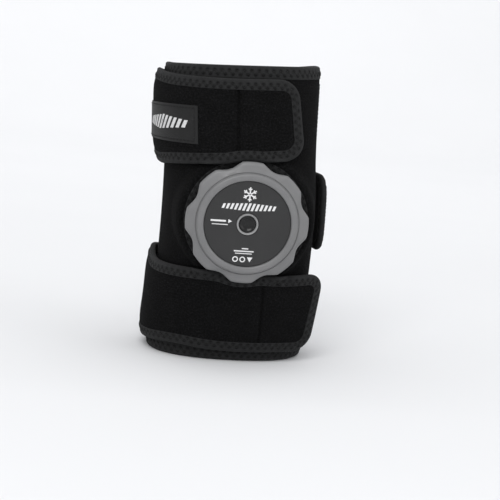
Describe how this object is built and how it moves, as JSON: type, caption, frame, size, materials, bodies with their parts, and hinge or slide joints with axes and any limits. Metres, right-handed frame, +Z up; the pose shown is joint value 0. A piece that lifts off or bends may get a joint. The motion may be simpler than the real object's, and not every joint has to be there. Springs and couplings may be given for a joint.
{
  "type": "cold compression wrap",
  "caption": "Black neoprene lower-leg sleeve closed by hook-and-loop straps, with a lobed grey screw cap and push-button air valve over an ice bladder.",
  "frame": {"origin": "middle of the bounding box's footprint, on the plane of the lower hem", "axes": "+Z up along the limb, from the lower hem to the upper hem; -Y is the side the cap faces; +X is the shin side, where the strap tabs end"},
  "size_m": [0.1376, 0.1448, 0.2202],
  "materials": {
    "loop_fabric": "black brushed loop face",
    "binding_tape": "black woven binding tape",
    "hook_tape": "black moulded hook pad",
    "label_weave": "charcoal woven label",
    "cap_plastic": "fine satin grey",
    "disc_plastic": "charcoal satin",
    "bezel_plastic": "light grey",
    "button_rubber": "black, slightly shiny",
    "neck_plastic": "dark moulded",
    "bladder_film": "blue-grey elastomer film",
    "seal_rubber": "black",
    "spring_steel": "drawn wire"
  },
  "bodies": {
    "sleeve": {"front_panel": "loop_fabric", "calf_wing": "loop_fabric", "shin_wing": "loop_fabric", "bottom_hem_binding": "binding_tape", "top_hem_binding": "binding_tape", "calf_edge_binding": "binding_tape", "shin_edge_binding": "binding_tape", "upper_strap_anchor": "loop_fabric", "lower_strap_anchor": "loop_fabric", "middle_strap_anchor": "loop_fabric", "cell_opening_binding": "binding_tape", "cell_neck": "neck_plastic", "bladder_clamp_ring": "neck_plastic", "ice_bladder": "bladder_film"},
    "upper_strap_tab": {"upper_strap_tab": "loop_fabric", "upper_hook_pad": "hook_tape"},
    "upper_strap_front": {"upper_strap_front": "loop_fabric"},
    "upper_strap_side": {"upper_strap_side": "loop_fabric", "label_patch": "label_weave"},
    "upper_strap_calf": {"upper_strap_calf": "loop_fabric"},
    "upper_strap_far": {"upper_strap_far": "loop_fabric"},
    "lower_strap_tab": {"lower_strap_tab": "loop_fabric", "lower_hook_pad": "hook_tape"},
    "lower_strap_front": {"lower_strap_front": "loop_fabric"},
    "lower_strap_side": {"lower_strap_side": "loop_fabric"},
    "lower_strap_calf": {"lower_strap_calf": "loop_fabric"},
    "lower_strap_far": {"lower_strap_far": "loop_fabric"},
    "middle_strap_tab": {"middle_strap_tab": "loop_fabric", "middle_hook_pad": "hook_tape"},
    "middle_strap_shin": {"middle_strap_shin": "loop_fabric"},
    "middle_strap_far": {"middle_strap_far": "loop_fabric"},
    "gasket": {"cap_gasket": "seal_rubber"},
    "cap": {"cap_shell": "cap_plastic", "label_disc": "disc_plastic", "button_bezel": "bezel_plastic", "return_spring": "spring_steel"},
    "button": {"release_button": "button_rubber", "valve_stem": "neck_plastic", "valve_seal": "seal_rubber", "stem_clip": "spring_steel"}
  },
  "joints": [
    {"name": "upper_unwrap_1", "type": "hinge", "parent": "sleeve", "child": "upper_strap_far", "pos_m": [-0.00005, 0.07164, 0.1751], "axis": [0.0383, -0.0321, -0.9987], "range_deg": [0, 45]},
    {"name": "upper_unwrap_2", "type": "hinge", "parent": "upper_strap_far", "child": "upper_strap_calf", "pos_m": [-0.03375, 0.06557, 0.17455], "axis": [0.0566, -0.0241, -0.9981], "range_deg": [0, 45]},
    {"name": "upper_unwrap_3", "type": "hinge", "parent": "upper_strap_calf", "child": "upper_strap_side", "pos_m": [-0.06209, 0.0387, 0.17456], "axis": [0.0574, -0.0054, -0.9983], "range_deg": [0, 45]},
    {"name": "upper_unwrap_4", "type": "hinge", "parent": "upper_strap_side", "child": "upper_strap_front", "pos_m": [-0.03112, -0.05359, 0.17697], "axis": [-0.0635, -0.1649, -0.9843], "range_deg": [0, 45]},
    {"name": "upper_tab_peel", "type": "hinge", "parent": "upper_strap_front", "child": "upper_strap_tab", "pos_m": [-0.00785, -0.05838, 0.17954], "axis": [0.0502, -0.2085, -0.9767], "range_deg": [0, 100]},
    {"name": "lower_unwrap_1", "type": "hinge", "parent": "sleeve", "child": "lower_strap_far", "pos_m": [0.00082, 0.06725, 0.03875], "axis": [-0.0366, -0.0321, -0.9988], "range_deg": [0, 40]},
    {"name": "lower_unwrap_2", "type": "hinge", "parent": "lower_strap_far", "child": "lower_strap_calf", "pos_m": [-0.04399, 0.05615, 0.03933], "axis": [-0.0214, -0.0028, -0.9998], "range_deg": [0, 40]},
    {"name": "lower_unwrap_3", "type": "hinge", "parent": "lower_strap_calf", "child": "lower_strap_side", "pos_m": [-0.06583, 0.00614, 0.04067], "axis": [-0.0556, -0.011, -0.9984], "range_deg": [0, 40]},
    {"name": "lower_unwrap_4", "type": "hinge", "parent": "lower_strap_side", "child": "lower_strap_front", "pos_m": [-0.03562, -0.04398, 0.03967], "axis": [0.079, 0.1497, -0.9856], "range_deg": [0, 40]},
    {"name": "lower_tab_peel", "type": "hinge", "parent": "lower_strap_front", "child": "lower_strap_tab", "pos_m": [0.01936, -0.0478, 0.03275], "axis": [0.0304, 0.2073, -0.9778], "range_deg": [0, 60]},
    {"name": "middle_unwrap_1", "type": "hinge", "parent": "sleeve", "child": "middle_strap_far", "pos_m": [-0.01212, 0.06875, 0.11], "axis": [-0.0229, 0.03, 0.9993], "range_deg": [0, 45]},
    {"name": "middle_unwrap_2", "type": "hinge", "parent": "middle_strap_far", "child": "middle_strap_shin", "pos_m": [0.03024, 0.06537, 0.11], "axis": [0.0037, 0.0216, 0.9998], "range_deg": [0, 45]},
    {"name": "middle_tab_peel", "type": "hinge", "parent": "middle_strap_shin", "child": "middle_strap_tab", "pos_m": [0.0619, 0.03567, 0.11], "axis": [-0.0185, -0.0064, 0.9998], "range_deg": [0, 100]},
    {"name": "cap_lift", "type": "slide", "parent": "sleeve", "child": "gasket", "axis": [0, -0.9962, -0.0872], "range_m": [0, 0.0101]},
    {"name": "cap_turn", "type": "hinge", "parent": "gasket", "child": "cap", "pos_m": [0.00316, -0.0543, 0.1075], "axis": [0, -0.9962, -0.0872], "range_deg": [0, 360]},
    {"name": "button_press", "type": "slide", "parent": "cap", "child": "button", "axis": [0, 0.9962, 0.0872], "range_m": [0, 0.0022], "stiffness_N_per_m": 250, "springref_m": -0.001, "deforming": ["return_spring"]}
  ],
  "couplings": [
    {"joint": "upper_unwrap_2", "follows": "upper_unwrap_1", "ratio": 1},
    {"joint": "upper_unwrap_3", "follows": "upper_unwrap_1", "ratio": 1},
    {"joint": "upper_unwrap_4", "follows": "upper_unwrap_1", "ratio": 1},
    {"joint": "lower_unwrap_2", "follows": "lower_unwrap_1", "ratio": 1},
    {"joint": "lower_unwrap_3", "follows": "lower_unwrap_1", "ratio": 1},
    {"joint": "lower_unwrap_4", "follows": "lower_unwrap_1", "ratio": 1},
    {"joint": "middle_unwrap_2", "follows": "middle_unwrap_1", "ratio": 1},
    {"joint": "cap_lift", "follows": "cap_turn", "m_per_rad": 0.0015915}
  ]
}
